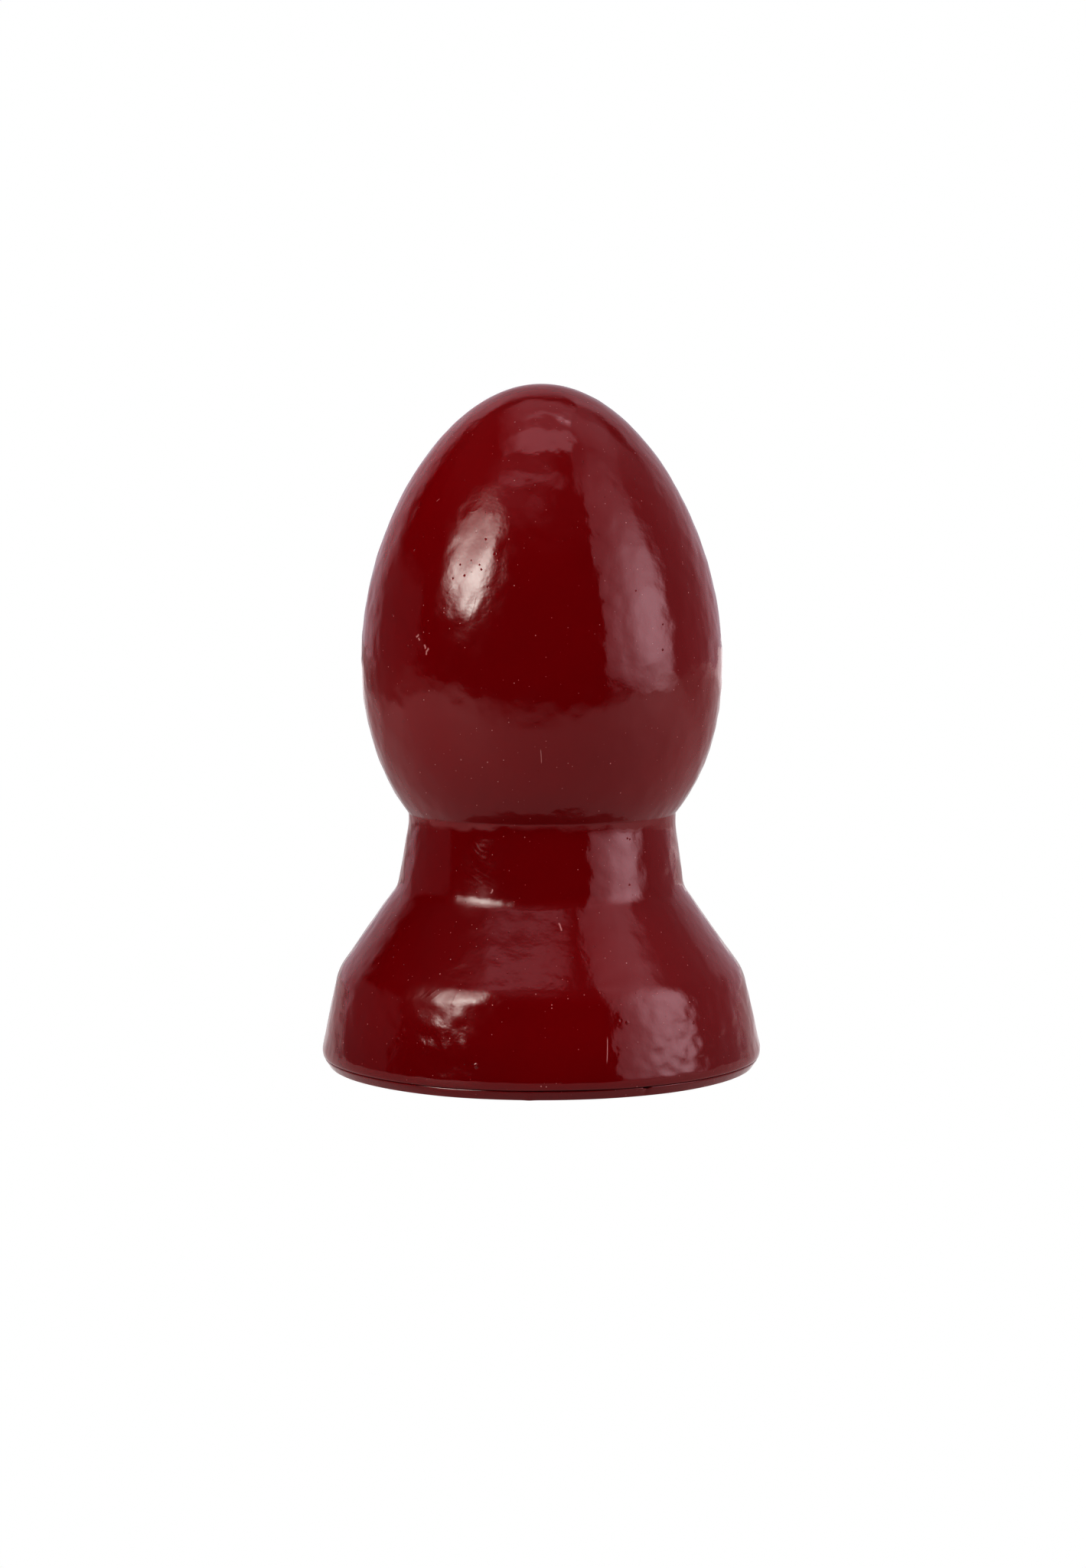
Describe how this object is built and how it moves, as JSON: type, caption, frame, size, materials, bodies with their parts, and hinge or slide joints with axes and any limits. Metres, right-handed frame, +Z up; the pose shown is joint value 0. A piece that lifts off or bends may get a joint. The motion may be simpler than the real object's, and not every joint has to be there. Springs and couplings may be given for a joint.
{
  "type": "egg-shaped flared-base plug",
  "caption": "Glossy soft PVC egg head on a short waist and a wide flared round base with a flat underside; an adult intimate product, free-standing.",
  "frame": {"origin": "centre of the flat underside, where the object stands", "axes": "+Z up along the turned axis, from the underside to the egg's tip; X and Y are alike"},
  "size_m": [0.0904, 0.0904, 0.14],
  "materials": {
    "soft_pvc_body": "polished",
    "soft_pvc_disc": "gloss"
  },
  "bodies": {
    "root": {"moulded_body": "soft_pvc_body", "base_disc": "soft_pvc_disc"}
  },
  "joints": []
}
